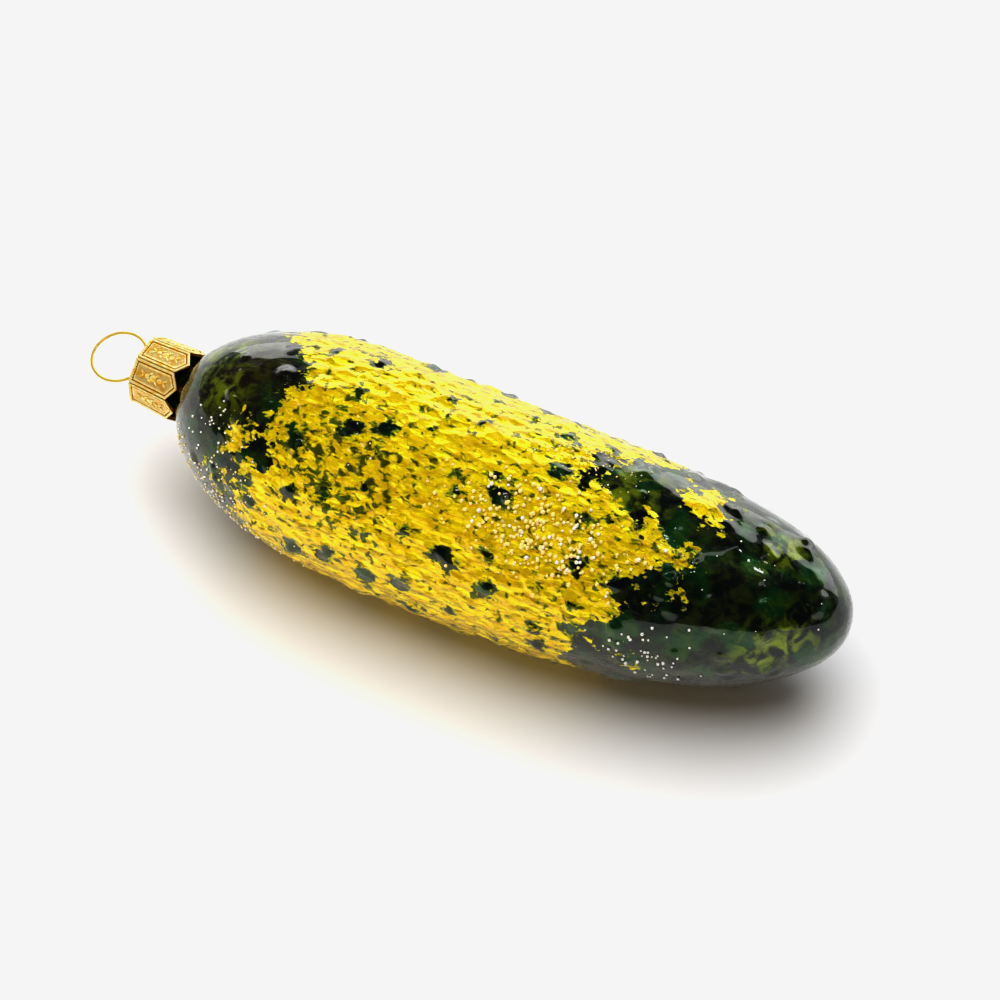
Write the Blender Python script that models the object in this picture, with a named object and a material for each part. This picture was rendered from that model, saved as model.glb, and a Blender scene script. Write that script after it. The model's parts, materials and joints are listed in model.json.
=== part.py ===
"""A gherkin tree ornament in blown glass, with its crown cap and sprung wire hanger, lying on its side.

Frame: metres, +Z up, +X from the cap to the blossom end. The origin is under the middle of the
ornament's box, on the surface it rests on.
"""

import math

import bmesh
import bpy
from mathutils import Matrix, Vector

# Glass body. Distances along the axis are measured from the pole under the cap.
BODY_LENGTH = 0.1195
BODY_RADIUS = 0.0192
WIDEST_AT = 0.31  # share of the length at which the body is widest
CAP_END_POWER = 2.24  # bluntness of the two ends: 2 is an ellipse, more is squarer
BLOSSOM_END_POWER = 3.73
BOW = 0.0125  # sideways bow of the axis, which tightens towards the blossom end
WALL = 0.0009
NECK_RADIUS = 0.0048
NECK_LIP = -0.0072  # end of the neck, inside the cap
NECK_ROOT = 0.0
SHOULDER = 0.0030  # where the fillet from the neck meets the body
FILLET_STEPS = 4
FILLET_POWER = 1.5
BODY_RINGS = 40
BODY_SEGMENTS = 44

# Swellings of the moulded skin.
WART_COUNT = 46
WART_HEIGHT = 0.0007
WART_RADIUS = 0.0042
WARTS_FROM = 0.016
WARTS_TO = 0.112
GOLDEN_ANGLE = math.pi * (3 - math.sqrt(5))

# Four swellings of the underside carry the ornament, in pairs either side of its lowest line.
UNDERSIDE = math.radians(274.4)
FOOT_WARTS = (0.0270, 0.0748)
FOOT_TURN = 2 * math.pi / BODY_SEGMENTS
FOOT_HEIGHT = 0.00095
CLEAR_TURN = math.radians(24)  # no other swelling is this near the lowest line

# Crown cap, stamped from sheet in eight panels with pointed tips.
PANELS = 8
CAP_SHEET = 0.0003
CAP_TOP = -0.0078
CAP_TIPS = 0.0012
CAP_NOTCHES = -0.0003  # bottom of the V gaps between the tips
CAP_TOP_RADIUS = 0.0060  # over the corners between panels
CAP_TIP_RADIUS = 0.0065
CAP_TURN = math.radians(7)
WIRE_HOLE_RADIUS = 0.0006
WIRE_HOLE_OFFSET = 0.0013

# Hanger: one wire, bent to a loop with two legs that spring apart inside the glass.
WIRE_RADIUS = 0.00025
LOOP_RADIUS = 0.00475
LOOP_GAP = 0.0009  # from the cap to the lowest part of the loop
LEG_END = 0.016
LEG_SPREAD = 0.0062
LOOP_ROLL = math.radians(17.5)  # turn of the hanger about the cap's axis
LOOP_DROOP = math.radians(4)  # how far the loop leans from that axis
LOOP_STEPS = 34
HOLE_BEND = 0.0005
HOLE_CUT = 0.0024  # length of the drill that cuts a wire hole
ENTRY_START = 0.0005  # the legs straighten over this distance above the cap
ENTRY_END = 0.0001
ENTRY_BEND = 0.00015
LEG_STRAIGHT = 0.0009  # the legs run straight this far below the cap's top
LEG_WAIST = 0.0024  # where the legs, part of the way apart, are inside the neck
LEG_WAIST_OFFSET = 0.0021

# How the ornament lies.
REST_ROLL = 1.5 * math.pi - UNDERSIDE
REST_PITCH = math.radians(0.19)


def clear_scene():
    for obj in list(bpy.data.objects):
        bpy.data.objects.remove(obj)


def material(name, colour, roughness, metallic):
    made = bpy.data.materials.new(name)
    made.use_nodes = True
    shader = made.node_tree.nodes["Principled BSDF"]
    shader.inputs["Base Color"].default_value = (*colour, 1)
    shader.inputs["Roughness"].default_value = roughness
    shader.inputs["Metallic"].default_value = metallic
    return made


def add_object(name, data, finish, parent):
    data.materials.append(finish)
    obj = bpy.data.objects.new(name, data)
    obj.parent = parent
    bpy.context.scene.collection.objects.link(obj)
    return obj


def body_radius(along):
    """Radius of the plain body at a distance from the pole under the cap."""
    share = along / BODY_LENGTH
    if share < WIDEST_AT:
        return BODY_RADIUS * math.sqrt(max(0, 1 - ((WIDEST_AT - share) / WIDEST_AT) ** CAP_END_POWER))
    return BODY_RADIUS * math.sqrt(
        max(0, 1 - ((share - WIDEST_AT) / (1 - WIDEST_AT)) ** BLOSSOM_END_POWER)
    )


def skin_profile():
    """(along, radius) of the outer skin from the neck's lip, over the shoulder, to the blossom end."""
    neck = [(NECK_LIP, NECK_RADIUS)]
    for step in range(FILLET_STEPS):
        share = step / FILLET_STEPS
        along = NECK_ROOT + (SHOULDER - NECK_ROOT) * share
        neck.append((along, NECK_RADIUS + (body_radius(SHOULDER) - NECK_RADIUS) * share**FILLET_POWER))
    body = []
    for ring in range(BODY_RINGS + 1):
        turn = math.pi * ring / BODY_RINGS
        along = SHOULDER + (BODY_LENGTH - SHOULDER) * (1 - math.cos(turn)) / 2
        body.append((along, body_radius(along)))
    return neck + body


def warts():
    """(along, around, height, radius) of each swelling: the four it rests on, and a spiral."""
    for along in FOOT_WARTS:
        for turn in (-FOOT_TURN, FOOT_TURN):
            yield along, UNDERSIDE + turn, FOOT_HEIGHT, WART_RADIUS
    for i in range(WART_COUNT):
        if abs(math.remainder(i * GOLDEN_ANGLE - UNDERSIDE, 2 * math.pi)) < CLEAR_TURN:
            continue
        along = WARTS_FROM + (WARTS_TO - WARTS_FROM) * (i + 0.5) / WART_COUNT
        height = WART_HEIGHT * (0.75 + 0.25 * math.sin(3.7 * i))
        radius = WART_RADIUS * (0.85 + 0.15 * math.cos(5.3 * i))
        yield along, i * GOLDEN_ANGLE, height, radius


def wart_height(along, around, radius):
    """How far the swellings lift the skin at a place on it."""
    lift = 0
    for wart_along, wart_around, height, wart_radius in warts():
        turn = math.remainder(around - wart_around, 2 * math.pi)
        distance = math.hypot(along - wart_along, turn * radius) / wart_radius
        if distance < 1:
            lift += height * (1 - distance**2) ** 2
    return lift


def axis_frame(along):
    """The bowed axis's frame at a distance along it, as a matrix from straight to bowed space."""
    share = min(max(along / BODY_LENGTH, 0), 1)
    centre = Vector((BODY_LENGTH * share, -BOW * (share - share**3), 0))
    forward = Vector((1, -BOW / BODY_LENGTH * (1 - 3 * share**2), 0)).normalized()
    side = Vector((-forward.y, forward.x, 0))
    centre += forward * (along - BODY_LENGTH * share)
    frame = Matrix((forward, side, forward.cross(side))).transposed().to_4x4()
    frame.translation = centre
    return frame


def glass_body(parent):
    """The blown shell, open at its neck."""
    mesh = bmesh.new()
    outline = [mesh.verts.new((along, radius, 0)) for along, radius in skin_profile()]
    edges = [mesh.edges.new(pair) for pair in zip(outline, outline[1:])]
    bmesh.ops.rotate(mesh, verts=outline, cent=(0, 0, 0), matrix=Matrix.Rotation(UNDERSIDE, 3, "X"))
    bmesh.ops.spin(
        mesh,
        geom=outline + edges,
        cent=(0, 0, 0),
        axis=(1, 0, 0),
        angle=2 * math.pi,
        steps=BODY_SEGMENTS,
        use_merge=True,
    )
    bmesh.ops.remove_doubles(mesh, verts=mesh.verts, dist=1e-6)
    for vert in mesh.verts:
        along = vert.co.x
        radius = math.hypot(vert.co.y, vert.co.z)
        around = math.atan2(vert.co.z, vert.co.y)
        radius += wart_height(along, around, radius)
        across = Vector((0, radius * math.cos(around), radius * math.sin(around)))
        vert.co = axis_frame(along) @ across
    bmesh.ops.recalc_face_normals(mesh, faces=mesh.faces)
    data = bpy.data.meshes.new("glass_body")
    mesh.to_mesh(data)
    mesh.free()
    data.shade_smooth()
    glass = add_object("glass_body", data, material("lacquered_glass", (0.45, 0.42, 0.02), 0.08, 0.6), parent)
    wall = glass.modifiers.new("wall", "SOLIDIFY")
    wall.thickness = WALL
    wall.offset = -1
    return glass


def cap(parent):
    """The crown cap: a flat top with two wire holes, and a skirt of eight pointed panels."""
    mesh = bmesh.new()
    top = bmesh.ops.create_circle(mesh, cap_ends=True, segments=2 * PANELS, radius=CAP_TOP_RADIUS)["verts"]
    rim = [edge for edge in mesh.edges if edge.is_boundary]
    skirt = bmesh.ops.extrude_edge_only(mesh, edges=rim)["geom"]
    for vert in top + [item for item in skirt if isinstance(item, bmesh.types.BMVert)]:
        around = math.atan2(vert.co.y, vert.co.x)
        middle = round(around / (math.pi / PANELS)) % 2 == 0
        below = vert not in top
        radius = CAP_TIP_RADIUS if below else CAP_TOP_RADIUS
        radius *= math.cos(math.pi / PANELS) if middle else 1
        height = (CAP_TIPS if middle else CAP_NOTCHES) if below else CAP_TOP
        vert.co = (height, radius * math.cos(around), radius * math.sin(around))
    bmesh.ops.rotate(mesh, verts=mesh.verts, cent=(0, 0, 0), matrix=Matrix.Rotation(CAP_TURN, 3, "X"))
    bmesh.ops.recalc_face_normals(mesh, faces=mesh.faces)
    if max(mesh.faces, key=lambda face: len(face.verts)).normal.x > 0:
        bmesh.ops.reverse_faces(mesh, faces=mesh.faces)
    data = bpy.data.meshes.new("cap")
    mesh.to_mesh(data)
    mesh.free()
    crown = add_object("cap", data, material("gilded_sheet", (0.83, 0.55, 0.14), 0.25, 1), parent)
    crown.matrix_local = axis_frame(0)
    sheet = crown.modifiers.new("sheet", "SOLIDIFY")
    sheet.thickness = CAP_SHEET
    sheet.offset = -1
    for side in (-1, 1):
        hole = crown.modifiers.new("wire_hole", "BOOLEAN")
        hole.operation = "DIFFERENCE"
        hole.object = wire_hole_cutter(crown, side * WIRE_HOLE_OFFSET)
    return crown


def wire_hole_cutter(crown, offset):
    mesh = bmesh.new()
    bmesh.ops.create_cone(
        mesh,
        cap_ends=True,
        segments=12,
        radius1=WIRE_HOLE_RADIUS,
        radius2=WIRE_HOLE_RADIUS,
        depth=HOLE_CUT,
    )
    data = bpy.data.meshes.new("wire_hole_cutter")
    mesh.to_mesh(data)
    mesh.free()
    cutter = bpy.data.objects.new("wire_hole_cutter", data)
    cutter.parent = crown
    cutter.matrix_local = (
        Matrix.Rotation(LOOP_ROLL, 4, "X")
        @ Matrix.Translation((CAP_TOP, offset, 0))
        @ Matrix.Rotation(math.pi / 2, 4, "Y")
    )
    cutter.hide_render = True
    cutter.display_type = "WIRE"
    bpy.context.scene.collection.objects.link(cutter)
    return cutter


def hanger_route():
    """Half of the wire's middle line, from the far side of the loop to the end of one leg."""
    centre = CAP_TOP - LOOP_GAP - LOOP_RADIUS
    mouth = math.asin((WIRE_HOLE_OFFSET + HOLE_BEND) / LOOP_RADIUS)
    for step in range(LOOP_STEPS // 2 + 1):
        turn = math.pi + (mouth - math.pi) * step / (LOOP_STEPS // 2)
        yield centre + LOOP_RADIUS * math.cos(turn), LOOP_RADIUS * math.sin(turn)
    yield CAP_TOP - ENTRY_START, WIRE_HOLE_OFFSET + ENTRY_BEND
    yield CAP_TOP - ENTRY_END, WIRE_HOLE_OFFSET
    yield CAP_TOP + LEG_STRAIGHT, WIRE_HOLE_OFFSET
    yield -LEG_WAIST, LEG_WAIST_OFFSET
    yield LEG_END, LEG_SPREAD


def hanger(parent):
    """The sprung wire: its loop stands on the cap and its legs go through the cap into the neck."""
    half = list(hanger_route())
    route = [(along, -across) for along, across in reversed(half)] + half[1:]
    data = bpy.data.curves.new("hanger", "CURVE")
    data.dimensions = "3D"
    spline = data.splines.new("POLY")
    spline.points.add(len(route) - 1)
    for point, (along, across) in zip(spline.points, route):
        point.co = (along, across, -math.tan(LOOP_DROOP) * max(0, CAP_TOP - along), 1)
    data.bevel_depth = WIRE_RADIUS
    data.bevel_resolution = 2
    data.use_fill_caps = True
    wire = add_object("hanger", data, material("gilded_wire", (0.80, 0.62, 0.22), 0.25, 1), parent)
    wire.matrix_local = axis_frame(0) @ Matrix.Rotation(LOOP_ROLL, 4, "X")
    return wire


def lowest_and_highest(pieces):
    """Corners of the box round the finished pieces, in world space."""
    bpy.context.view_layer.update()
    graph = bpy.context.evaluated_depsgraph_get()
    points = []
    for piece in pieces:
        evaluated = piece.evaluated_get(graph)
        mesh = evaluated.to_mesh()
        points += [evaluated.matrix_world @ vert.co for vert in mesh.vertices]
        evaluated.to_mesh_clear()
    low = Vector([min(point[i] for point in points) for i in range(3)])
    high = Vector([max(point[i] for point in points) for i in range(3)])
    return low, high


def lay_down(ornament, pieces):
    """Turns the ornament to the way it rests, and puts the origin under the middle of its box."""
    ornament.rotation_euler = (REST_ROLL, REST_PITCH, 0)
    low, high = lowest_and_highest(pieces)
    middle = (low + high) / 2
    ornament.location = -Vector((middle.x, middle.y, low.z))


def main():
    clear_scene()
    ornament = bpy.data.objects.new("ornament", None)
    bpy.context.scene.collection.objects.link(ornament)
    pieces = [glass_body(ornament), cap(ornament), hanger(ornament)]
    lay_down(ornament, pieces)


main()
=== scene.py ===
"""Looks of a blown-glass cucumber ornament with a crown cap, a wire hanger and glued glass beads."""

import json
import logging
import math
from dataclasses import dataclass
from enum import Enum

import bmesh
import bpy
import numpy as np
from mathutils import Matrix, Vector, noise

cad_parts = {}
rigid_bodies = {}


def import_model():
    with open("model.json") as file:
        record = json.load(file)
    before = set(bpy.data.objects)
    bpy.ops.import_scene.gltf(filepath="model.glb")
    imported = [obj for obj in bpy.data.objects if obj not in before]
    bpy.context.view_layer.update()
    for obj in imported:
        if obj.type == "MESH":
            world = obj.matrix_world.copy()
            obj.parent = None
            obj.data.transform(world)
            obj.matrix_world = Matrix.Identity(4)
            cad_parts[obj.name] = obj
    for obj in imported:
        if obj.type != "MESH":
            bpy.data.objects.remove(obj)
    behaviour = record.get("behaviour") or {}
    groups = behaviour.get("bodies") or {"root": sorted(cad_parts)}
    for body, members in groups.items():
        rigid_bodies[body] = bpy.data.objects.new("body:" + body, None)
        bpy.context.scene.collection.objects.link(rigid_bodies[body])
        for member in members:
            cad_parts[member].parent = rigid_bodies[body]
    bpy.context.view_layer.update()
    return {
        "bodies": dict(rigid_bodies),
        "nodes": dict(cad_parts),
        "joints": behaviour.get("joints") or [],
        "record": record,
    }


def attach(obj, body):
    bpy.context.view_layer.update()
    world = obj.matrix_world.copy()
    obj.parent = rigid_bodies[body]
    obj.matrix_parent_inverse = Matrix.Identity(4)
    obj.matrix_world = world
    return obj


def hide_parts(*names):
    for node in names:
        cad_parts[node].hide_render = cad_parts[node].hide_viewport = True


LOG = logging.getLogger("ornament")
TURN = 2 * math.pi
MM = 0.001
GOLDEN_ANGLE = math.pi * (3 - math.sqrt(5))
BRIGHTEST = 0.646  # light above this level shows as the same pale white

Colour = tuple[float, float, float]
Mesh = bmesh.types.BMesh
Socket = bpy.types.NodeSocket
Thing = bpy.types.Object


# ---- shader graphs


class Value:
    """A number in a shader graph that takes ordinary arithmetic."""

    def __init__(self, graph: "Graph", socket: Socket) -> None:
        """Wraps one output socket of a graph."""
        self.graph = graph
        self.socket = socket

    def __add__(self, other: "Value | float") -> "Value":
        """This plus other."""
        return self.graph.maths("ADD", self, other)

    def __radd__(self, other: float) -> "Value":
        """Other plus this."""
        return self.graph.maths("ADD", other, self)

    def __sub__(self, other: "Value | float") -> "Value":
        """This less other."""
        return self.graph.maths("SUBTRACT", self, other)

    def __rsub__(self, other: float) -> "Value":
        """Other less this."""
        return self.graph.maths("SUBTRACT", other, self)

    def __mul__(self, other: "Value | float") -> "Value":
        """This times other."""
        return self.graph.maths("MULTIPLY", self, other)

    def __rmul__(self, other: float) -> "Value":
        """Other times this."""
        return self.graph.maths("MULTIPLY", other, self)

    def above(self, low: float, high: float) -> "Value":
        """A smooth step from 0 at low to 1 at high."""
        return self.graph.step(self, low, high)

    def highest(self, other: "Value | float") -> "Value":
        """The larger of the two."""
        return self.graph.maths("MAXIMUM", self, other)


class Graph:
    """One material's node graph, ending in a Principled shader."""

    def __init__(self, name: str) -> None:
        """Makes an empty material with its shader and output.

        Args:
            name: the material's name.
        """
        self.material = bpy.data.materials.new(name)
        self.material.use_nodes = True
        self.tree = self.material.node_tree
        self.tree.nodes.clear()
        self.shader = self.node("ShaderNodeBsdfPrincipled")
        output = self.node("ShaderNodeOutputMaterial")
        self.tree.links.new(self.shader.outputs["BSDF"], output.inputs["Surface"])

    def node(self, kind: str, settings: dict | None = None, sockets: dict | None = None) -> bpy.types.Node:
        """Adds a node.

        Args:
            kind: its type name.
            settings: its properties by name.
            sockets: its inputs by name or number: numbers, vectors, sockets or Values.

        Returns:
            The node.
        """
        made = self.tree.nodes.new(kind)
        for name, value in (settings or {}).items():
            setattr(made, name, value)
        for key, value in (sockets or {}).items():
            self.feed(made.inputs[key], value)
        return made

    def feed(self, socket: Socket, value: object) -> None:
        """Gives an input a constant or a link.

        Args:
            socket: the input.
            value: a number, a vector, a socket or a Value.
        """
        if isinstance(value, Value):
            value = value.socket
        if isinstance(value, Socket):
            self.tree.links.new(value, socket)
        else:
            socket.default_value = value

    def maths(self, operation: str, *values: "Value | float") -> Value:
        """A Math node on one or two numbers."""
        made = self.node("ShaderNodeMath", {"operation": operation}, dict(enumerate(values)))
        return Value(self, made.outputs[0])

    def step(self, value: Value, low: float, high: float) -> Value:
        """A smooth step of a value between two limits.

        Args:
            value: the number to step.
            low: where the step is 0.
            high: where the step is 1.

        Returns:
            The stepped number.
        """
        sockets = {"Value": value, "From Min": low, "From Max": high}
        made = self.node("ShaderNodeMapRange", {"interpolation_type": "SMOOTHSTEP"}, sockets)
        return Value(self, made.outputs["Result"])

    def attribute(self, name: str) -> Value:
        """A number stored on the piece's points."""
        return Value(self, self.node("ShaderNodeAttribute", {"attribute_name": name}).outputs["Fac"])

    def place(self, stretch: tuple[float, float, float] = (1, 1, 1)) -> Socket:
        """Object coordinates in millimetres.

        Args:
            stretch: what each axis is multiplied by. Less than 1 draws a pattern out along it.

        Returns:
            The coordinates.
        """
        where = self.node("ShaderNodeTexCoord").outputs["Object"]
        scale = tuple(1000 * share for share in stretch)
        sockets = {0: where, 1: scale}
        return self.node("ShaderNodeVectorMath", {"operation": "MULTIPLY"}, sockets).outputs[0]

    def noise(self, where: Socket, size: float, detail: float = 2, twist: float = 0) -> Value:
        """Soft noise from 0 to 1 with features of about the given size in millimetres."""
        sockets = {"Vector": where, "Scale": 1 / size, "Detail": detail, "Distortion": twist}
        return Value(self, self.node("ShaderNodeTexNoise", None, sockets).outputs["Fac"])

    def cells(self, where: Socket, size: float) -> Value:
        """Distance from the nearest of scattered points, as a share of the given spacing."""
        made = self.node("ShaderNodeTexVoronoi", None, {"Vector": where, "Scale": 1 / size})
        return Value(self, made.outputs["Distance"])

    def blend(self, share: "Value | float", low: object, high: object) -> Socket:
        """A mix of two colours.

        Args:
            share: how much of the second there is, from 0 to 1.
            low: the first colour, as three numbers or a socket.
            high: the second colour.

        Returns:
            The mixed colour.
        """
        made = self.node("ShaderNodeMix", {"data_type": "RGBA"})
        self.feed(made.inputs["Factor"], share)
        for socket, colour in ((made.inputs[6], low), (made.inputs[7], high)):
            self.feed(socket, (*colour, 1) if isinstance(colour, tuple) else colour)
        return made.outputs[2]

    def bump(self, height: Value, depth: float) -> Socket:
        """A normal for a height that spans 0 to 1 over the given depth in metres."""
        return self.node("ShaderNodeBump", None, {"Height": height, "Distance": depth}).outputs["Normal"]

    def finish(self, **sockets: object) -> bpy.types.Material:
        """Feeds the shader.

        Args:
            sockets: values by the shader's input names, with underscores for spaces.

        Returns:
            The finished material.
        """
        for key, value in sockets.items():
            self.feed(self.shader.inputs[key.replace("_", " ")], value)
        return self.material


# ---- finishes


@dataclass(frozen=True)
class LacqueredGlass:
    """Silvered glass with sponged yellow and dark-green lacquer, under a clear glossy coat. Its dark lacquer
    also carries painted reflections: an olive glow of bright surroundings and the brown of the gold cap.

    The sizes of its patterns are in millimetres and the depth of its relief in metres.
    """

    yellow: Colour = (1.0, 0.80, 0.001)
    gold: Colour = (0.74, 0.44, 0.001)
    lime: Colour = (0.14, 0.34, 0.001)
    green: Colour = (0.0025, 0.050, 0.006)
    # painted reflection: olive where bright surroundings would show through the dark lacquer
    painted_reflection_olive: Colour = (0.20, 0.26, 0.003)
    black: Colour = (0.0004, 0.005, 0.001)
    # painted reflection of the gold cap: brown in the dark lacquer near it
    painted_cap_reflection: Colour = (0.022, 0.008, 0.002)
    streak_size: float = 0.75
    sponge_size: float = 3.2
    blotch_size: float = 1.7
    grain_size: float = 0.9
    fleck_size: float = 1.2
    puddle_size: float = 1.9
    # size of the patches of painted reflection
    painted_reflection_size: float = 2.6
    haze_size: float = 5.5
    relief: float = 0.0003

    def material(self) -> bpy.types.Material:
        """Builds the material. It reads the piece's border, spot, wash and glow attributes, and the one for
        the cap's painted reflection; glow places the painted reflections of bright surroundings.

        Returns:
            The finished material.
        """
        graph = Graph("lacquered_glass")
        where = graph.place()
        streaks = graph.noise(graph.place((0.22, 1, 1)), self.streak_size, 4, 0.6)
        sponge = graph.noise(where, self.sponge_size, 3, 0.4)
        blotch = graph.noise(graph.place((0.8, 1, 1)), self.blotch_size, 3, 0.7)
        grain = graph.noise(graph.place((0.6, 1, 1)), self.grain_size, 2, 0.3)
        edge = graph.attribute("border") + (sponge - 0.5) * 14 + (grain - 0.5) * 9
        spot = graph.attribute("spot") + (sponge - 0.5) * 3 + (blotch - 0.5) * 5 + (grain - 0.5) * 3
        speckle = graph.noise(graph.place((0.7, 1, 1)), self.fleck_size, 3, 0.6)
        fleck = (speckle + graph.attribute("wash") * 0.14).above(0.59, 0.71)
        lacquer_green = (1 - edge.above(-0.25, 0.25)).highest(spot.above(-0.15, 0.45))
        thin = (1 - edge.above(-0.5, 1.1)).highest(spot.above(-0.6, 0.25)).highest(fleck * 0.75)
        shade = streaks.above(0.42, 0.68)
        puddle = graph.cells(graph.place((0.7, 1, 1)), self.puddle_size).above(0.2, 0.8)
        yellow = graph.blend(shade * 0.55 + puddle * 0.4, self.yellow, self.gold)
        body = graph.blend(thin * 0.85, yellow, self.lime)
        # Painted reflection: the glow attribute and this noise lighten the dark lacquer to olive where the
        # silvering would show bright surroundings.
        glow = graph.attribute("glow") * graph.noise(where, self.painted_reflection_size, 3, 0.8).above(0.42, 0.66)
        haze = graph.noise(where, self.haze_size, 2, 0.4).above(0.46, 0.66)
        deep = graph.blend(haze, self.black, self.green)
        # The dark lacquer with its painted reflections: brown of the gold cap near it, olive glow elsewhere.
        dark = graph.blend(glow, graph.blend(graph.attribute("painted_cap_reflection") * 0.85, deep, self.painted_cap_reflection), self.painted_reflection_olive)
        height = (streaks * 0.7 + puddle * 1.3 + grain * 0.4) * (1.15 - lacquer_green)
        return graph.finish(
            Base_Color=graph.blend(lacquer_green.highest(fleck * 0.8), body, dark),
            Metallic=0.62,
            Roughness=0.2 + shade * 0.16,
            Normal=graph.bump(height, self.relief),
            Coat_Weight=0.4 + lacquer_green * 0.6,
            Coat_Roughness=0.015,
            Coat_IOR=1.5,
        )


@dataclass(frozen=True)
class GildedSheet:
    """Bright gold-coloured stamped sheet, with painted shade darkening its grooves and the sleeve behind its
    panels.
    """

    bright: Colour = (1.0, 0.90, 0.40)
    worn: Colour = (1.0, 0.62, 0.08)
    # painted shade in the grooves and on the sleeve behind the panels
    painted_recess_shade: Colour = (0.40, 0.12, 0.006)
    mottle_size: float = 0.9
    dent_size: float = 0.45
    dent_depth: float = 0.00014

    def material(self) -> bpy.types.Material:
        """Builds the material. It reads the piece's attribute of painted shade in recesses.

        Returns:
            The finished material.
        """
        graph = Graph("gilded_cap")
        mottle = graph.noise(graph.place(), self.mottle_size, 3, 0.5)
        colour = graph.blend(mottle.above(0.4, 0.7), self.bright, self.worn)
        return graph.finish(
            # Painted shade: the recess attribute darkens the grooves and the sleeve to a dark brown.
            Base_Color=graph.blend(graph.attribute("painted_recess_shade"), colour, self.painted_recess_shade),
            Metallic=0.55,
            Roughness=0.12 + mottle * 0.15,
            Normal=graph.bump(graph.noise(graph.place(), self.dent_size, 2), self.dent_depth),
        )


@dataclass(frozen=True)
class GildedWire:
    """Drawn wire with a bright gold-coloured plating."""

    colour: Colour = (0.86, 0.62, 0.12)

    def material(self) -> bpy.types.Material:
        """Builds the material.

        Returns:
            The finished material.
        """
        graph = Graph("gilded_wire")
        dull = graph.noise(graph.place(), 0.6, 2)
        return graph.finish(Base_Color=(*self.colour, 1), Metallic=0.7, Roughness=0.18 + dull * 0.14)


@dataclass(frozen=True)
class GlassBead:
    """Tiny clear or gold-tinted glass beads."""

    name: str
    colour: Colour

    def material(self) -> bpy.types.Material:
        """Builds the material.

        Returns:
            The finished material.
        """
        graph = Graph(self.name)
        tint = graph.noise(graph.place(), 0.8, 1).above(0.35, 0.7)
        pale = tuple(0.2 + 0.8 * part for part in self.colour)
        return graph.finish(
            Base_Color=graph.blend(tint, self.colour, pale),
            Metallic=0.3,
            Roughness=0.15,
            Coat_Weight=1.0,
            Coat_Roughness=0.03,
        )


@dataclass(frozen=True)
class Paper:
    """Plain pale matt surface of the studio."""

    colour: Colour = (0.64, 0.64, 0.645)

    def material(self) -> bpy.types.Material:
        """The finished material."""
        graph = Graph("studio_paper")
        return graph.finish(Base_Color=(*self.colour, 1), Roughness=0.9)


# ---- the ornament's own shape


@dataclass(frozen=True)
class GlassSize:
    """Driving sizes of the blown body, in metres and radians."""

    length: float = 0.1195
    radius: float = 0.0192
    widest: float = 0.31
    cap_end_power: float = 2.24
    blossom_end_power: float = 3.73
    bow: float = 0.0125
    neck_radius: float = 0.0048
    neck_lip: float = -0.0072
    neck_wall: float = 0.0009
    shoulder: float = 0.0030
    fillet_power: float = 1.5
    underside: float = math.radians(274.4)
    roll: float = math.radians(-4.4)
    pitch: float = math.radians(0.19)


@dataclass(frozen=True)
class Wart:
    """One swelling of the moulded skin: its place along and around, its height and its reach."""

    along: float
    around: float
    height: float
    reach: float


class OrnamentShape:
    """Where everything on the ornament is: its radius, its bowed axis and how it lies."""

    def __init__(self, size: GlassSize, crown: Vector) -> None:
        """Places the shape.

        Args:
            size: the body's driving sizes.
            crown: the middle of the hanger's loop in the row frame, which fixes where the ornament lies.
        """
        self.size = size
        turn = Matrix.Rotation(size.pitch, 4, "Y") @ Matrix.Rotation(size.roll, 4, "X")
        self.turn = turn
        self.matrix = Matrix.Translation(crown - turn @ (self.axis(0) @ HangerSize().loop_centre())) @ turn

    def radius(self, along: float) -> float:
        """Radius of the plain body.

        Args:
            along: distance from the pole under the cap.

        Returns:
            The radius there.
        """
        size = self.size
        share = along / size.length
        if share < size.widest:
            fall, power = (size.widest - share) / size.widest, size.cap_end_power
        else:
            fall, power = (share - size.widest) / (1 - size.widest), size.blossom_end_power
        return size.radius * math.sqrt(max(0, 1 - fall**power))

    def axis(self, along: float) -> Matrix:
        """Frame of the bowed axis.

        Args:
            along: distance from the pole under the cap. Past either end the axis runs on straight.

        Returns:
            The frame there, with X along the axis.
        """
        size = self.size
        share = min(max(along / size.length, 0), 1)
        forward = Vector((1, -size.bow / size.length * (1 - 3 * share**2), 0)).normalized()
        side = Vector((-forward.y, forward.x, 0))
        frame = Matrix((forward, side, forward.cross(side))).transposed().to_4x4()
        centre = Vector((size.length * share, -size.bow * (share - share**3), 0))
        frame.translation = centre + forward * (along - size.length * share)
        return frame

    def point(self, along: float, around: float, radius: float) -> Vector:
        """A point in the row frame from its place along and around and its distance from the axis."""
        across = Vector((0, radius * math.cos(around), radius * math.sin(around)))
        return self.matrix @ (self.axis(along) @ across)

    def cap_matrix(self) -> Matrix:
        """From the cap's own frame, with X along the axis, to the row frame."""
        return self.matrix @ self.axis(0)


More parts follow.
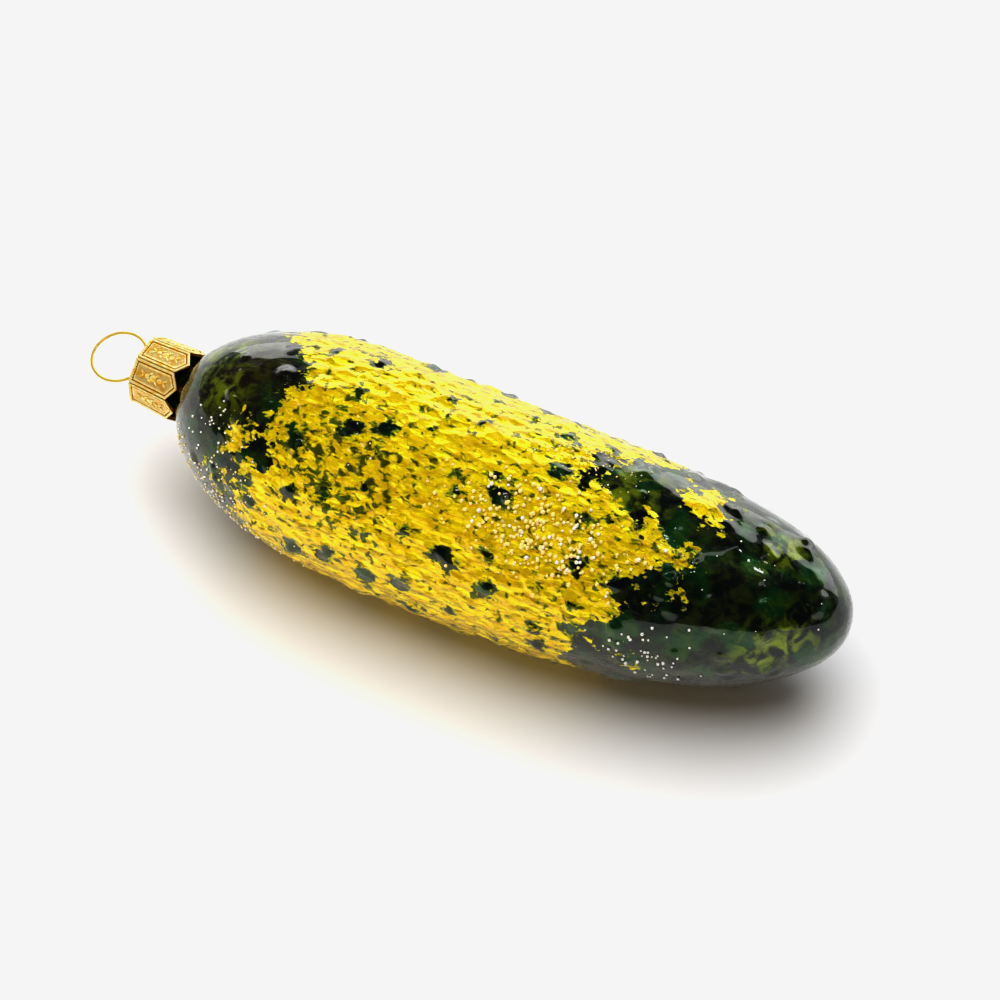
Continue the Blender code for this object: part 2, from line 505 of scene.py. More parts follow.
class Swellings:
    """The skin's warts, and how far they and the dents between them move it."""

    SPIRAL = 46
    SPIRAL_FROM = 16
    SPIRAL_RUN = 96
    WART_HEIGHT = 0.7 * MM
    WART_REACH = 4.2 * MM
    CLEAR_OF_FEET = math.radians(24)
    FOOT_PLACES = (27.0 * MM, 74.8 * MM)
    FOOT_TURN = TURN / 44
    FOOT_HEIGHT = 0.95 * MM
    LONE = (
        Wart(21.5 * MM, math.radians(103), 0.9 * MM, 2.3 * MM),
        Wart(93.8 * MM, math.radians(84), 0.6 * MM, 3.0 * MM),
    )
    BUMPS = 320
    BUMPS_FROM = 9
    BUMPS_RUN = 106
    BUMP_HEIGHTS = (0.16, 0.5)
    BUMP_REACHES = (1.1, 2.1)
    BUMPS_CLEAR_OF_FEET = math.radians(16)

    def __init__(self, shape: OrnamentShape) -> None:
        """Lists the main warts by the frame's own rule, then the smaller bumps.

        Args:
            shape: the ornament's shape.
        """
        self.shape = shape
        size = shape.size
        self.main = [
            Wart(along, size.underside + side * self.FOOT_TURN, self.FOOT_HEIGHT, self.WART_REACH)
            for along in self.FOOT_PLACES
            for side in (-1, 1)
        ]
        for i in range(self.SPIRAL):
            if abs(math.remainder(i * GOLDEN_ANGLE - size.underside, TURN)) > self.CLEAR_OF_FEET:
                along = (self.SPIRAL_FROM + self.SPIRAL_RUN * (i + 0.5) / self.SPIRAL) * MM
                height = self.WART_HEIGHT * (0.75 + 0.25 * math.sin(3.7 * i))
                reach = self.WART_REACH * (0.85 + 0.15 * math.cos(5.3 * i))
                self.main.append(Wart(along, i * GOLDEN_ANGLE, height, reach))
        self.main += self.LONE
        draw = np.random.default_rng(11)
        self.bumps = []
        for i in range(self.BUMPS):
            around = i * GOLDEN_ANGLE * 1.37 + draw.normal(0, 0.25)
            along = (self.BUMPS_FROM + self.BUMPS_RUN * (i + 0.5) / self.BUMPS) * MM
            if abs(math.remainder(around - size.underside, TURN)) > self.BUMPS_CLEAR_OF_FEET:
                height = draw.uniform(*self.BUMP_HEIGHTS) * MM
                self.bumps.append(Wart(along, around, height, draw.uniform(*self.BUMP_REACHES) * MM))

    def spots(self) -> list[Wart]:
        """The swellings that carry a spot of green lacquer."""
        return [wart for i, wart in enumerate(self.bumps) if i % 8 != 2]

    def lift(self, along: np.ndarray, around: np.ndarray, radius: np.ndarray) -> np.ndarray:
        """How far the warts lift the skin.

        Args:
            along: each point's distance from the pole under the cap.
            around: its angle about the axis.
            radius: its distance from the axis.

        Returns:
            Each point's lift.
        """
        total = np.zeros_like(along)
        for wart in self.main + self.bumps:
            turn = np.remainder(around - wart.around + math.pi, TURN) - math.pi
            share = np.minimum(np.hypot(along - wart.along, turn * radius) / wart.reach, 1)
            total += wart.height * (1 - share**2) ** 2
        return total


# ---- pieces


def add_piece(name: str, mesh: Mesh, finish: bpy.types.Material, node: str | None) -> Thing:
    """Puts a finished piece in the scene.

    Args:
        name: the piece's plain name.
        mesh: its shape in the row frame. It is freed.
        finish: its material.
        node: the CAD node it replaces, or None.

    Returns:
        The piece, riding on the ornament's only body.
    """
    bmesh.ops.recalc_face_normals(mesh, faces=mesh.faces)
    data = bpy.data.meshes.new(name)
    mesh.to_mesh(data)
    mesh.free()
    data.materials.append(finish)
    piece = bpy.data.objects.new(name, data)
    bpy.context.scene.collection.objects.link(piece)
    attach(piece, "root")
    if node:
        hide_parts(node)
    LOG.info("%s: %d faces", name, len(data.polygons))
    return piece


@dataclass(frozen=True)
class Patch:
    """A round patch of lacquer: its middle along (mm) and around (degrees), and its radius (mm)."""

    along: float
    around: float
    radius: float


class Layout:
    """Where the two lacquers lie on the body."""

    YELLOW_PATCHES = (
        Patch(93.8, 83, 4.2),
        Patch(94.0, 124, 1.2),
        Patch(93.0, 140, 1.3),
        Patch(19.0, 143, 2.6),
        Patch(16.5, 176, 2.4),
        Patch(87.0, 190, 1.8),
    )
    GREEN_PATCHES = (Patch(78.5, 90, 3.8), Patch(83.5, 101, 3.2), Patch(23.0, 150, 2.2))
    # Painted reflections: where the dark lacquer is lightened to olive as if the silvering showed bright
    # surroundings.
    PAINTED_REFLECTIONS = (
        Patch(110, 162, 5),
        Patch(107, 176, 4),
        Patch(107, 90, 4),
        Patch(82, 100, 6),
        Patch(8, 95, 5),
        Patch(12, 120, 5),
    )
    CAP_EDGE = 18.5
    CAP_HUMPS = ((6.0, 98, 16), (-3.0, 62, 16), (1.5, 200, 30), (5.0, 136, 24))
    NOSE_EDGE = 81.5
    NOSE_HUMPS = ((11.0, 122, 20), (-5.0, 84, 13), (5.0, 52, 14), (3.0, 160, 14), (-3.5, 205, 18))
    SPECKLED = Patch(38, 140, 13)
    # Painted reflection of the gold cap, brown in the dark lacquer near it.
    CAP_REFLECTION_PATCH = Patch(14, 112, 8)

    def __init__(self, along: np.ndarray, around: np.ndarray, radius: np.ndarray) -> None:
        """Takes the places of the skin's points.

        Args:
            along: each point's distance from the pole under the cap, in metres.
            around: its angle about the axis, in radians.
            radius: its distance from the axis, in metres.
        """
        self.along = along / MM
        self.around = np.degrees(around) % 360
        self.radius = radius / MM

    def edge(self, start: float, humps: tuple[tuple[float, float, float], ...]) -> np.ndarray:
        """An edge around the body.

        Args:
            start: its plain place along the body.
            humps: smooth humps in it: how far each goes along, its middle and its width in degrees.

        Returns:
            The edge's place along the body at each point's angle.
        """
        found = np.full_like(self.around, start)
        for far, middle, width in humps:
            turn = (self.around - middle + 180) % 360 - 180
            found += far * np.exp(-((turn / width) ** 2))
        return found

    def reach(self, patch: Patch) -> np.ndarray:
        """Distance of each point from a patch's middle, in millimetres."""
        turn = (self.around - patch.around + 180) % 360 - 180
        return np.hypot(self.along - patch.along, np.radians(turn) * self.radius)

    def within(self, patch: Patch) -> np.ndarray:
        """How near each point is to a patch's middle, from 1 there to 0 far past its radius."""
        return np.exp(-((self.reach(patch) / patch.radius) ** 2))

    def border(self) -> np.ndarray:
        """Where the yellow is.

        Returns:
            Signed distance in millimetres from the lacquers' border, positive in the yellow.
        """
        cap_edge = self.edge(self.CAP_EDGE, self.CAP_HUMPS)
        nose_edge = self.edge(self.NOSE_EDGE, self.NOSE_HUMPS)
        found = np.minimum(self.along - cap_edge, nose_edge - self.along)
        for patch in self.YELLOW_PATCHES:
            found = np.maximum(found, patch.radius - self.reach(patch))
        for patch in self.GREEN_PATCHES:
            found = np.minimum(found, self.reach(patch) - patch.radius)
        return found

    def spot(self, swellings: Swellings) -> np.ndarray:
        """Where the green spots are.

        Args:
            swellings: the skin's warts and bumps.

        Returns:
            Signed distance in millimetres into the nearest spot.
        """
        found = np.full_like(self.along, -9.0)
        for i, wart in enumerate(swellings.spots()):
            centre = Patch(wart.along / MM, math.degrees(wart.around), 0)
            found = np.maximum(found, 0.2 + 1.6 * math.sin(2.1 * i) ** 2 - self.reach(centre))
        return found

    def wash(self) -> np.ndarray:
        """How much fine green speckle there is, from 0 to 1."""
        return np.maximum(0.25, self.within(self.SPECKLED))

    def painted_cap_reflection(self) -> np.ndarray:
        """How much painted reflection of the gold cap browns the dark lacquer near it, from 0 to 1."""
        return self.within(self.CAP_REFLECTION_PATCH)

    def glow(self) -> np.ndarray:
        """Where painted reflection lightens the dark lacquer, as light that the silvering would send back.

        Returns:
            How much, from 0 to 1.
        """
        found = np.full_like(self.along, 0.12)
        for patch in self.PAINTED_REFLECTIONS:
            found = np.maximum(found, self.within(patch))
        return found


@dataclass(frozen=True)
class Wave:
    """One noise that moves the skin: waves per millimetre along and across, height in mm, and shift."""

    along: float
    across: float
    height: float
    shift: tuple[float, float, float] = (0, 0, 0)

    def at(self, place: np.ndarray) -> float:
        """The noise at a place in millimetres."""
        where = Vector(place * (self.along, self.across, self.across)) + Vector(self.shift)
        return self.height * noise.noise(where)


class GlassBody:
    """The blown body, with its warts, dents and soft waves as real shape."""

    RINGS = 290
    SEGMENTS = 320
    FILLET_STEPS = 8
    SOFT = (Wave(0.06, 0.17, 0.2), Wave(0.28, 0.55, 0.035, (7, 3, 1)))
    DENTS = (Wave(0.38, 0.55, 0.30), Wave(0.8, 1.1, 0.16))
    FADE_ALONG = 0.012
    FADE_UNDER = 0.35

    def __init__(self, shape: OrnamentShape, swellings: Swellings) -> None:
        """Takes the ornament's shape and its warts."""
        self.shape = shape
        self.swellings = swellings

    def profile(self) -> list[tuple[float, float]]:
        """The body's outline.

        Returns:
            (along, radius) of the skin, from inside the neck's mouth to the blossom end.
        """
        size = self.shape.size
        bore = size.neck_radius - size.neck_wall
        found = [(size.neck_lip / 2, 0), (size.neck_lip / 2, bore), (size.neck_lip, bore)]
        found.append((size.neck_lip, size.neck_radius))
        root = self.shape.radius(size.shoulder) - size.neck_radius
        for step in range(self.FILLET_STEPS):
            share = step / self.FILLET_STEPS
            found.append((size.shoulder * share, size.neck_radius + root * share**size.fillet_power))
        for ring in range(self.RINGS + 1):
            share = ring / self.RINGS
            eased = 0.72 * share + 0.28 * (1 - math.cos(math.pi * share)) / 2
            along = size.shoulder + (size.length - size.shoulder) * eased
            found.append((along, self.shape.radius(along)))
        return found

    def waves(self, points: np.ndarray, border: np.ndarray) -> np.ndarray:
        """Soft waves of the whole skin, and dents where it is yellow.

        Args:
            points: the plain skin's points, unbowed.
            border: signed distance of each from the lacquers' border, in millimetres.

        Returns:
            How far each point moves outward.
        """
        found = np.empty(len(points))
        depth = np.clip((border + 3) / 6, 0, 1)
        for i, place in enumerate(points / MM):
            soft, dents = (sum(wave.at(place) for wave in kind) for kind in (self.SOFT, self.DENTS))
            found[i] = soft + depth[i] * dents
        return found * MM

    def build(self, finish: bpy.types.Material) -> Thing:
        """Makes the piece in place of the frame's plain body.

        Args:
            finish: its material.

        Returns:
            The piece, with the attributes that its material reads.
        """
        mesh = bmesh.new()
        outline = [mesh.verts.new((along, radius, 0)) for along, radius in self.profile()]
        edges = [mesh.edges.new(pair) for pair in zip(outline, outline[1:])]
        bmesh.ops.spin(
            mesh, geom=outline + edges, cent=(0, 0, 0), axis=(1, 0, 0),
            angle=TURN, steps=self.SEGMENTS, use_merge=True,
        )
        bmesh.ops.remove_doubles(mesh, verts=mesh.verts, dist=1e-6)
        plain = np.array([vert.co for vert in mesh.verts])
        along = plain[:, 0]
        radius = np.hypot(plain[:, 1], plain[:, 2])
        around = np.arctan2(plain[:, 2], plain[:, 1])
        layout = Layout(along, around, radius)
        border = layout.border()
        skin = (along > 0.001) & (radius > 1e-6)
        under = np.abs(np.remainder(around - self.shape.size.underside + math.pi, TURN) - math.pi)
        fade = np.clip(along / self.FADE_ALONG, 0, 1) * np.clip(under / self.FADE_UNDER, 0.15, 1)
        lift = self.swellings.lift(along, around, radius) + self.waves(plain, border) * fade
        radius = radius + np.where(skin, lift, 0)
        for vert, distance, turn, out in zip(mesh.verts, along, around, radius):
            vert.co = self.shape.point(distance, turn, out)
        piece = add_piece("glass_shell", mesh, finish, "glass_body")
        # border, spot and wash place the real lacquers; glow and the brown near the cap place painted
        # reflections.
        values = {
            "border": border,
            "spot": layout.spot(self.swellings),
            "wash": layout.wash(),
            "glow": layout.glow(),
            "painted_cap_reflection": layout.painted_cap_reflection(),
        }
        for name, numbers in values.items():
            layer = piece.data.attributes.new(name, "FLOAT", "POINT")
            layer.data.foreach_set("value", numbers.astype(np.float32))
        piece.data.shade_smooth()
        return piece


@dataclass(frozen=True)
class CapSize:
    """Sizes of the crown cap, in metres and radians, in the cap's own frame."""

    panels: int = 8
    top: float = -0.0078
    tips: float = 0.0012
    notches: float = -0.0003
    top_radius: float = 0.0060
    tip_radius: float = 0.0065
    turn: float = math.radians(7)
    sheet: float = 0.0003
    groove: float = 0.00022


@dataclass(frozen=True)
class Leaf:
    """One raised oval of the scroll, in millimetres and degrees: its middle, half sizes and turn."""

    along: float
    across: float
    length: float
    width: float
    lean: float = 0


class CrownCap:
    """The stamped cap: eight framed panels with a scroll each, over a plain sleeve.

    FRAMES holds each inset's width and rise, in millimetres.
    """

    FRAMES = ((0.10, 0.16), (0.30, 0.0), (0.10, -0.22), (0.12, 0.0), (0.08, 0.16), (0.20, 0.0), (0.10, -0.08))
    SINK = 0.1 * MM
    SCROLL_MIDDLE = -3.6
    SCROLL_RISE = 0.26
    RIBS = 9
    RIB_LENGTH = 0.6 * MM
    RIB_HEIGHT = 0.2 * MM
    SLEEVE_IN = 0.28 * MM
    SLEEVE_UP = 0.15 * MM
    SOFT_EDGE = 0.05 * MM

    def __init__(self, shape: OrnamentShape, size: CapSize = CapSize()) -> None:
        """Takes the ornament's shape and the cap's sizes."""
        self.shape = shape
        self.size = size

    def half_width(self, radius: float) -> float:
        """Half the width of a panel between its two corners, less the groove."""
        return radius * math.sin(math.pi / self.size.panels) - self.size.groove / 2

    def panel(self, mesh: Mesh) -> None:
        """One panel, flat, with X along the cap, Y across and Z outward, and its raised frames.

        Args:
            mesh: the mesh that it is added to.
        """
        size = self.size
        corners = bmesh.ops.create_circle(mesh, cap_ends=True, segments=5, radius=1)["verts"]
        narrow, wide = self.half_width(size.top_radius), self.half_width(size.tip_radius)
        sides = ((size.notches, wide), (size.top, narrow), (size.top, -narrow), (size.notches, -wide))
        for vert, (along, across) in zip(corners, ((size.tips, 0), *sides)):
            vert.co = (along, across, 0)
        mesh.normal_update()
        field = next(face for face in mesh.faces)
        if field.normal.z < 0:
            bmesh.ops.reverse_faces(mesh, faces=[field])
        for thickness, depth in self.FRAMES:
            bmesh.ops.inset_region(
                mesh, faces=[field], thickness=thickness * MM, depth=depth * MM,
                use_even_offset=True, use_boundary=True,
            )

    def scroll(self, mesh: Mesh) -> None:
        """The stamped scroll in a panel's field: two rings, a middle boss and leaves.

        Args:
            mesh: the mesh that it is added to.
        """
        leaves = [Leaf(0, 0, 0.713, 0.625)]
        for side in (-1, 1):
            leaves += [Leaf(1.25 * side, 0, 0.483, 0.425)]
            for half in (1, -1):
                leaves += [Leaf(2.2 * side, 0.28 * half, 0.575, 0.2, 40 * half * side)]
                leaves += [Leaf(0.62 * side, 0.62 * half, 0.483, 0.2125, 35 * half)]
        for leaf in leaves:
            place = Matrix.Translation(((self.SCROLL_MIDDLE + leaf.along) * MM, leaf.across * MM, 0))
            place @= Matrix.Rotation(math.radians(leaf.lean), 4, "Z")
            scale = Matrix.Diagonal((leaf.length * MM, leaf.width * MM, self.SCROLL_RISE * MM, 1))
            bmesh.ops.create_uvsphere(mesh, u_segments=12, v_segments=6, radius=1, matrix=place @ scale)

    def ribs(self, mesh: Mesh) -> None:
        """The milled teeth along a panel's top edge.

        Args:
            mesh: the mesh that they are added to.
        """
        width = 2 * self.half_width(self.size.top_radius) / self.RIBS
        scale = Matrix.Diagonal((self.RIB_LENGTH, 0.55 * width, self.RIB_HEIGHT, 1))
        for i in range(self.RIBS):
            across = (i - (self.RIBS - 1) / 2) * width
            place = Matrix.Translation((self.size.top + 0.32 * MM, across, 0.16 * MM))
            bmesh.ops.create_cube(mesh, size=1, matrix=place @ scale)

    def build(self, finish: bpy.types.Material) -> Thing:
        """Makes the piece in place of the frame's plain cap.

        Args:
            finish: its material.

        Returns:
            The piece, with the attribute that its material reads.
        """
        size = self.size
        mesh = bmesh.new()
        for part in (self.panel, self.scroll, self.ribs):
            part(mesh)
        spread = math.cos(math.pi / size.panels)
        rise = (size.tip_radius - size.top_radius) * spread
        tilt = Matrix.Rotation(-math.atan2(rise, size.notches - size.top), 4, "Y")
        out = Matrix.Translation((size.top, 0, size.top_radius * spread - self.SINK)) @ tilt
        out @= Matrix.Translation((-size.top, 0, 0))
        bmesh.ops.transform(mesh, matrix=Matrix.Rotation(size.turn, 4, "X") @ out, verts=mesh.verts)
        bmesh.ops.spin(
            mesh, geom=mesh.verts[:] + mesh.edges[:] + mesh.faces[:], cent=(0, 0, 0), axis=(1, 0, 0),
            angle=TURN * (1 - 1 / size.panels), steps=size.panels - 1, use_duplicate=True,
        )
        proud = [vert.co.copy() for vert in mesh.verts]
        self.sleeve(mesh)
        # Painted shade: the sleeve's sides between the panel tips are darkened, its closed top is barely
        # darkened.
        behind = [0.1 if vert.co.x < size.top + 0.5 * MM else 0.9 for vert in mesh.verts[:][len(proud):]]
        bmesh.ops.transform(mesh, matrix=self.shape.cap_matrix(), verts=mesh.verts)
        piece = add_piece("crown_cap", mesh, finish, "cap")
        # Painted shade for each point: by depth on the panels, then on the sleeve.
        painted_recess_shade = [self.depth(place) for place in proud] + behind
        layer = piece.data.attributes.new("painted_recess_shade", "FLOAT", "POINT")
        layer.data.foreach_set("value", np.array(painted_recess_shade, np.float32))
        bevel = piece.modifiers.new("soft_edges", "BEVEL")
        bevel.width, bevel.segments, bevel.limit_method = self.SOFT_EDGE, 2, "ANGLE"
        return piece

    def depth(self, place: Vector) -> float:
        """How deep a point lies below the panels' raised frames, which sets how much painted shade it gets.

        Args:
            place: the point in the cap's own frame.

        Returns:
            0 on the frames and scrolls, to 1 in the grooves.
        """
        share = (place.x - self.size.top) / (self.size.notches - self.size.top)
        flat = self.size.top_radius + (self.size.tip_radius - self.size.top_radius) * share
        step = TURN / self.size.panels
        turn = math.atan2(place.z, place.y) - math.pi / 2 - self.size.turn
        turn = math.remainder(turn, step)
        out = math.hypot(place.y, place.z) * math.cos(turn) - flat * math.cos(step / 2) + self.SINK
        return min(max((0.06 * MM - out) / (0.1 * MM), 0), 1)

    def skirt(self, mesh: Mesh, ring: list[bmesh.types.BMVert]) -> list[bmesh.types.BMVert]:
        """Extrudes a ring's open edges.

        Args:
            mesh: the mesh.
            ring: the ring's points.

        Returns:
            The new ring's points.
        """
        rim = [edge for edge in mesh.edges if edge.is_boundary and all(vert in ring for vert in edge.verts)]
        made = bmesh.ops.extrude_edge_only(mesh, edges=rim)["geom"]
        return [item for item in made if isinstance(item, bmesh.types.BMVert)]

    def sleeve(self, mesh: Mesh) -> None:
        """The sheet behind the panels, closed over the top.

        Args:
            mesh: the mesh that it is added to.
        """
        size = self.size
        made = bmesh.ops.create_circle(mesh, cap_ends=True, segments=2 * size.panels, radius=1)["verts"]
        lower = self.skirt(mesh, made)
        inside = self.skirt(mesh, lower)
        for ring, drop in ((made, 0), (lower, 0), (inside, size.sheet)):
            for vert in ring:
                around = math.atan2(vert.co.y, vert.co.x)
                middle = round(around / (math.pi / size.panels)) % 2 == 1
                radius = (size.top_radius if ring is made else size.tip_radius) - self.SLEEVE_IN - drop
                radius *= 1 if middle else math.cos(math.pi / size.panels)
                along = size.top if ring is made else (size.notches if middle else size.tips) - self.SLEEVE_UP
                vert.co = (along, radius * math.cos(around), radius * math.sin(around))
        turned = Matrix.Rotation(size.turn, 3, "X")
        bmesh.ops.rotate(mesh, verts=made + lower + inside, cent=(0, 0, 0), matrix=turned)


@dataclass(frozen=True)
class HangerSize:
    """Sizes of the wire hanger, in metres and radians, in the cap's own frame."""

    wire: float = 0.00025
    loop: float = 0.00475
    gap: float = 0.0009
    hole: float = 0.0013
    bend: float = 0.0005
    leg_end: float = 0.016
    leg_spread: float = 0.0062
    roll: float = math.radians(17.5)
    droop: float = math.radians(4)
    steps: int = 96

    def top(self) -> float:
        """Height of the cap's top."""
        return CapSize().top

    def lean(self, along: float) -> float:
        """How far the loop leans out of its plane at a distance along the cap's axis."""
        return -math.tan(self.droop) * max(0, self.top() - along)

    def loop_centre(self) -> Vector:
        """Middle of the loop in the cap's frame."""
        along = self.top() - self.gap - self.loop
        return Matrix.Rotation(self.roll, 4, "X") @ Vector((along, 0, self.lean(along)))

    def half_route(self) -> list[tuple[float, float]]:
        """One half of the wire's route.

        Returns:
            (along, across) from the far side of the loop to the end of one leg.
        """
        centre = self.top() - self.gap - self.loop
        mouth = math.asin((self.hole + self.bend) / self.loop)
        half = self.steps // 2
        found = []
        for step in range(half + 1):
            turn = math.pi + (mouth - math.pi) * step / half
            found.append((centre + self.loop * math.cos(turn), self.loop * math.sin(turn)))
        top = self.top()
        found += [(top - 0.0005, self.hole + 0.00015), (top - 0.0001, self.hole), (top + 0.0009, self.hole)]
        return found + [(-0.0024, 0.0021), (self.leg_end, self.leg_spread)]


class Hanger:
    """The sprung wire hanger with its round loop."""

    def __init__(self, shape: OrnamentShape, size: HangerSize = HangerSize()) -> None:
        """Takes the ornament's shape and the wire's sizes."""
        self.shape = shape
        self.size = size

    def build(self, finish: bpy.types.Material) -> Thing:
        """Makes the piece in place of the frame's faceted wire.

        Args:
            finish: its material.

        Returns:
            The piece.
        """
        half = self.size.half_route()
        route = [(along, -across) for along, across in reversed(half)] + half[1:]
        matrix = self.shape.cap_matrix() @ Matrix.Rotation(self.size.roll, 4, "X")
        path = [matrix @ Vector((along, across, self.size.lean(along))) for along, across in route]
        mesh = bmesh.new()
        flat = matrix.to_3x3() @ Vector((0, 0, 1))
        ring: list = []
        for i, place in enumerate(path):
            ahead = (path[min(i + 1, len(path) - 1)] - path[max(i - 1, 0)]).normalized()
            side = ahead.cross(flat).normalized()
            frame = Matrix((side, ahead.cross(side), ahead)).transposed().to_4x4()
            frame.translation = place
            made = bmesh.ops.create_circle(
                mesh, cap_ends=i in (0, len(path) - 1), segments=14, radius=self.size.wire, matrix=frame
            )["verts"]
            edges = [edge for edge in mesh.edges if edge.verts[0] in made and edge.verts[1] in made]
            if ring:
                bmesh.ops.bridge_loops(mesh, edges=ring + edges)
            ring = edges
        piece = add_piece("wire_hanger", mesh, finish, "hanger")
        piece.data.shade_smooth()
        return piece


@dataclass(frozen=True)
class BeadField:
    """A scatter of beads, in millimetres and degrees.

    It holds where its middle is, how far it spreads, how many there are, the smallest and largest
    radius, and the share of gold-tinted ones.
    """

    along: float
    around: float
    spread_along: float
    spread_around: float
    count: int
    low: float
    high: float
    gold: float


class BeadGlitter:
    """Tiny glass beads glued in a few scatters over the body."""

    FIELDS = (
        BeadField(71, 131, 7.0, 11, 290, 0.20, 0.46, 0.85),
        BeadField(74, 84, 5.0, 7, 80, 0.10, 0.2, 0.8),
        BeadField(17, 196, 6.0, 20, 230, 0.12, 0.26, 0.45),
        BeadField(13, 145, 3.0, 12, 26, 0.16, 0.26, 0.0),
        BeadField(91, 186, 4.0, 10, 45, 0.16, 0.34, 0.0),
        BeadField(98, 140, 7.0, 26, 14, 0.10, 0.22, 0.1),
        BeadField(48, 140, 14, 40, 26, 0.10, 0.22, 0.6),
    )

    NEAREST = 5 * MM
    FARTHEST = 117 * MM
    OUTSIDE = 24 * MM
    PROUD = 0.45

    def __init__(self, shape: OrnamentShape, skin: Thing) -> None:
        """Takes the ornament's shape and the body that the beads are glued to."""
        self.shape = shape
        self.skin = skin

    def build(self, clear: bpy.types.Material, gold: bpy.types.Material) -> list[Thing]:
        """Scatters the beads over the skin.

        Args:
            clear: the clear beads' material.
            gold: the gold-tinted beads' material.

        Returns:
            One piece of clear beads and one of gold-tinted beads.
        """
        draw = np.random.default_rng(23)
        meshes = {"clear_beads": bmesh.new(), "gold_beads": bmesh.new()}
        for field in self.FIELDS:
            for _ in range(field.count):
                along = (field.along + field.spread_along * draw.normal()) * MM
                around = math.radians(field.around + field.spread_around * draw.normal())
                radius = draw.uniform(field.low, field.high) * MM
                name = "gold_beads" if draw.random() < field.gold else "clear_beads"
                along = min(max(along, self.NEAREST), self.FARTHEST)
                start = self.shape.point(along, around, self.OUTSIDE)
                aim = self.shape.point(along, around, 0) - start
                hit, place, normal, _face = self.skin.ray_cast(start, aim.normalized())
                if hit:
                    where = Matrix.Translation(place + self.PROUD * radius * normal)
                    where @= Matrix.Rotation(draw.uniform(0, TURN), 4, normal)
                    bmesh.ops.create_icosphere(meshes[name], subdivisions=1, radius=radius, matrix=where)
        made = []
        for name, finish in (("clear_beads", clear), ("gold_beads", gold)):
            piece = add_piece(name, meshes[name], finish, None)
            piece.data.shade_smooth()
            made.append(piece)
        return made


# ---- studio


class Light(Enum):
    """The wide lamps: energy, angle across, and azimuth and elevation they come from (degrees)."""

    ABOVE = (3.1, 70.0, 235.0, 80.0)
    BEHIND = (0.5, 50.0, 195.0, 55.0)


@dataclass(frozen=True)
class WarmLamp:
    """The small warm lamp low in front, for the golden light under the body."""

    energy: float = 0.13
    colour: Colour = (1.0, 0.72, 0.32)
    radius: float = 0.03
    place: tuple[float, float, float] = (-0.035, -0.105, 0.06)


@dataclass(frozen=True)
class Card:
    """A bright card: its direction in degrees, its distance and size in metres, and its glow."""

    name: str
    azimuth: float
    elevation: float
    distance: float
    size: tuple[float, float]
    glow: float


@dataclass(frozen=True)
class CameraPlace:
    """The camera's direction in degrees, its distance in metres, its lens in millimetres and its shift."""

    azimuth: float = 24.67
    elevation: float = 50.0
    distance: float = 0.84
    lens: float = 186.04
    shift_x: float = -0.0016
    shift_y: float = 0.020


def direction(azimuth: float, elevation: float) -> Vector:
    """Unit vector from the object towards a place in the studio, with azimuth 0 at -Y."""
    turn, rise = math.radians(azimuth), math.radians(elevation)
    return Vector((math.sin(turn) * math.cos(rise), -math.cos(turn) * math.cos(rise), math.sin(rise)))


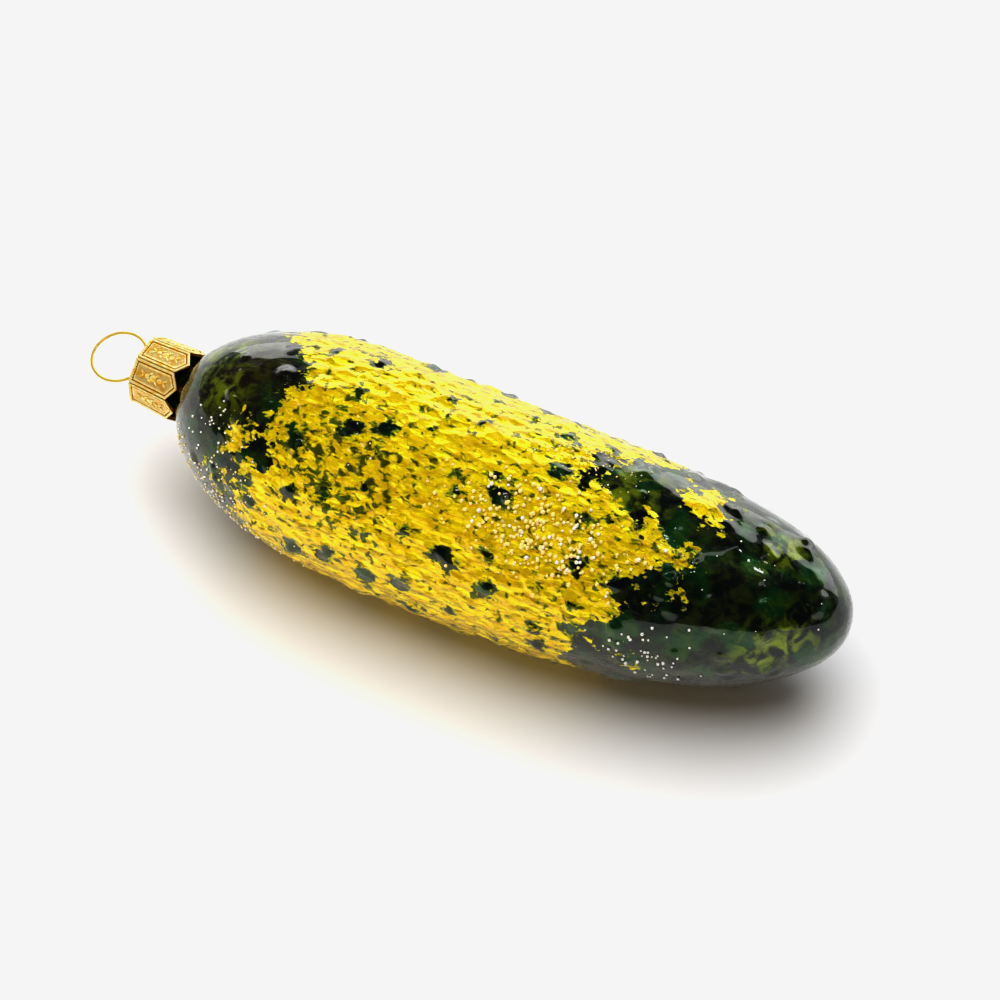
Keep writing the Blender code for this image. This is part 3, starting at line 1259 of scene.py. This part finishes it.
class Studio:
    """Pale floor, soft lamps, bright cards and the camera."""

    CARDS = (
        Card("card_behind", 180, 17, 1.6, (4.0, 1.0), 1.9),
        Card("strip", 60, 75, 1.4, (1.3, 0.09), 1.6),
        Card("small_card_0", 20, 82, 1.3, (0.08, 0.08), 14),
        Card("small_card_1", -60, 62, 1.3, (0.08, 0.08), 14),
        Card("small_card_2", 105, 58, 1.3, (0.08, 0.08), 14),
    )
    FLOOR_SIZE = 4
    ROOM = 0.09
    CONTRAST = "High Contrast"

    def sheet(self, name: str, mesh: Mesh, finish: bpy.types.Material) -> Thing:
        """Puts a flat sheet in the studio.

        Args:
            name: its name.
            mesh: its shape. It is freed.
            finish: its material.

        Returns:
            The sheet.
        """
        data = bpy.data.meshes.new(name)
        mesh.to_mesh(data)
        mesh.free()
        data.materials.append(finish)
        return self.add(bpy.data.objects.new(name, data))

    def add(self, thing: Thing) -> Thing:
        """Links a thing and marks it as the studio's.

        Args:
            thing: the thing.

        Returns:
            The same thing.
        """
        bpy.context.scene.collection.objects.link(thing)
        return thing

    def floor(self, height: float) -> None:
        """A wide floor.

        Args:
            height: its height.
        """
        mesh = bmesh.new()
        place = Matrix.Translation((0, 0, height))
        bmesh.ops.create_grid(mesh, x_segments=1, y_segments=1, size=self.FLOOR_SIZE, matrix=place)
        self.sheet("floor", mesh, Paper().material())

    def card(self, card: Card) -> None:
        """A bright card that only reflections see.

        Args:
            card: its place, size and glow.
        """
        mesh = bmesh.new()
        facing = direction(card.azimuth, card.elevation)
        turn = facing.to_track_quat("Z", "Y").to_matrix().to_4x4()
        place = Matrix.Translation(facing * card.distance) @ turn @ Matrix.Diagonal((*card.size, 1, 1))
        bmesh.ops.create_grid(mesh, x_segments=1, y_segments=1, size=0.5, matrix=place)
        graph = Graph(card.name)
        graph.finish(Base_Color=(0, 0, 0, 1), Emission_Color=(1, 1, 1, 1), Emission_Strength=card.glow)
        sheet = self.sheet(card.name, mesh, graph.material)
        sheet.visible_camera = sheet.visible_diffuse = sheet.visible_shadow = False

    def lamps(self) -> None:
        """The wide soft lamps, which only matt surfaces see."""
        for light in Light:
            energy, angle, azimuth, elevation = light.value
            data = bpy.data.lights.new(light.name.lower(), "SUN")
            data.energy, data.angle = energy, math.radians(angle)
            lamp = self.add(bpy.data.objects.new(data.name, data))
            lamp.rotation_euler = direction(azimuth, elevation).to_track_quat("Z", "Y").to_euler()
            lamp.visible_glossy = False

    def warm_lamp(self, warm: WarmLamp) -> None:
        """The small warm lamp.

        Args:
            warm: its energy, colour, size and place.
        """
        data = bpy.data.lights.new("warm", "POINT")
        data.energy, data.color, data.shadow_soft_size = warm.energy, warm.colour, warm.radius
        lamp = self.add(bpy.data.objects.new(data.name, data))
        lamp.location = warm.place
        lamp.visible_glossy = False

    def room(self) -> None:
        """An even dim room."""
        world = bpy.data.worlds.new("room")
        world.use_nodes = True
        colour = (self.ROOM, self.ROOM, self.ROOM * 1.04, 1)
        world.node_tree.nodes["Background"].inputs["Color"].default_value = colour
        bpy.context.scene.world = world

    def camera(self, place: CameraPlace, target: Vector) -> None:
        """The camera.

        Args:
            place: its direction, distance, lens and shift.
            target: the point that it faces.
        """
        data = bpy.data.cameras.new("camera")
        data.lens, data.shift_x, data.shift_y = place.lens, place.shift_x, place.shift_y
        data.dof.use_dof = False
        camera = bpy.data.objects.new("camera", data)
        back = direction(place.azimuth, place.elevation)
        camera.location = target + back * place.distance
        camera.rotation_euler = back.to_track_quat("Z", "Y").to_euler()
        bpy.context.scene.collection.objects.link(camera)
        bpy.context.scene.camera = camera

    def picture(self) -> None:
        """The picture's contrast, and the level past which it is plain pale white."""
        view = bpy.context.scene.view_settings
        view.view_transform = "Standard"
        view.look = self.CONTRAST
        view.use_curve_mapping = True
        view.curve_mapping.extend = "HORIZONTAL"
        view.curve_mapping.curves[3].points[1].location = (BRIGHTEST, BRIGHTEST)
        view.curve_mapping.update()

    def build(self, height: float, target: Vector) -> None:
        """Makes everything in the studio.

        Args:
            height: the floor's height.
            target: the point that the camera faces.
        """
        self.floor(height)
        for card in self.CARDS:
            self.card(card)
        self.lamps()
        self.warm_lamp(WarmLamp())
        self.room()
        self.camera(CameraPlace(), target)
        self.picture()


def lowest(pieces: list[Thing]) -> float:
    """Height of the lowest point of some pieces."""
    return min(min(vert.co.z for vert in piece.data.vertices) for piece in pieces)


def main(frame: dict) -> None:
    """Builds the ornament's looks around its frame, then the studio.

    Args:
        frame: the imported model, as loaded.
    """
    logging.basicConfig(level=logging.INFO, format="%(message)s")
    loop = next(mount for mount in frame["record"]["mounts"] if mount["name"] == "hanging_loop")
    shape = OrnamentShape(GlassSize(), Vector(loop["pos_m"]))
    glass = GlassBody(shape, Swellings(shape)).build(LacqueredGlass().material())
    cap = CrownCap(shape).build(GildedSheet().material())
    wire = Hanger(shape).build(GildedWire().material())
    clear = GlassBead("clear_bead", (0.92, 0.92, 0.88)).material()
    gold = GlassBead("gold_bead", (1.0, 0.80, 0.25)).material()
    beads = BeadGlitter(shape, glass).build(clear, gold)
    middle = shape.matrix @ shape.axis(shape.size.length / 2).translation
    Studio().build(lowest([glass, cap, wire, *beads]), middle)


if __name__ == "__main__":
    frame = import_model()
    main(frame)
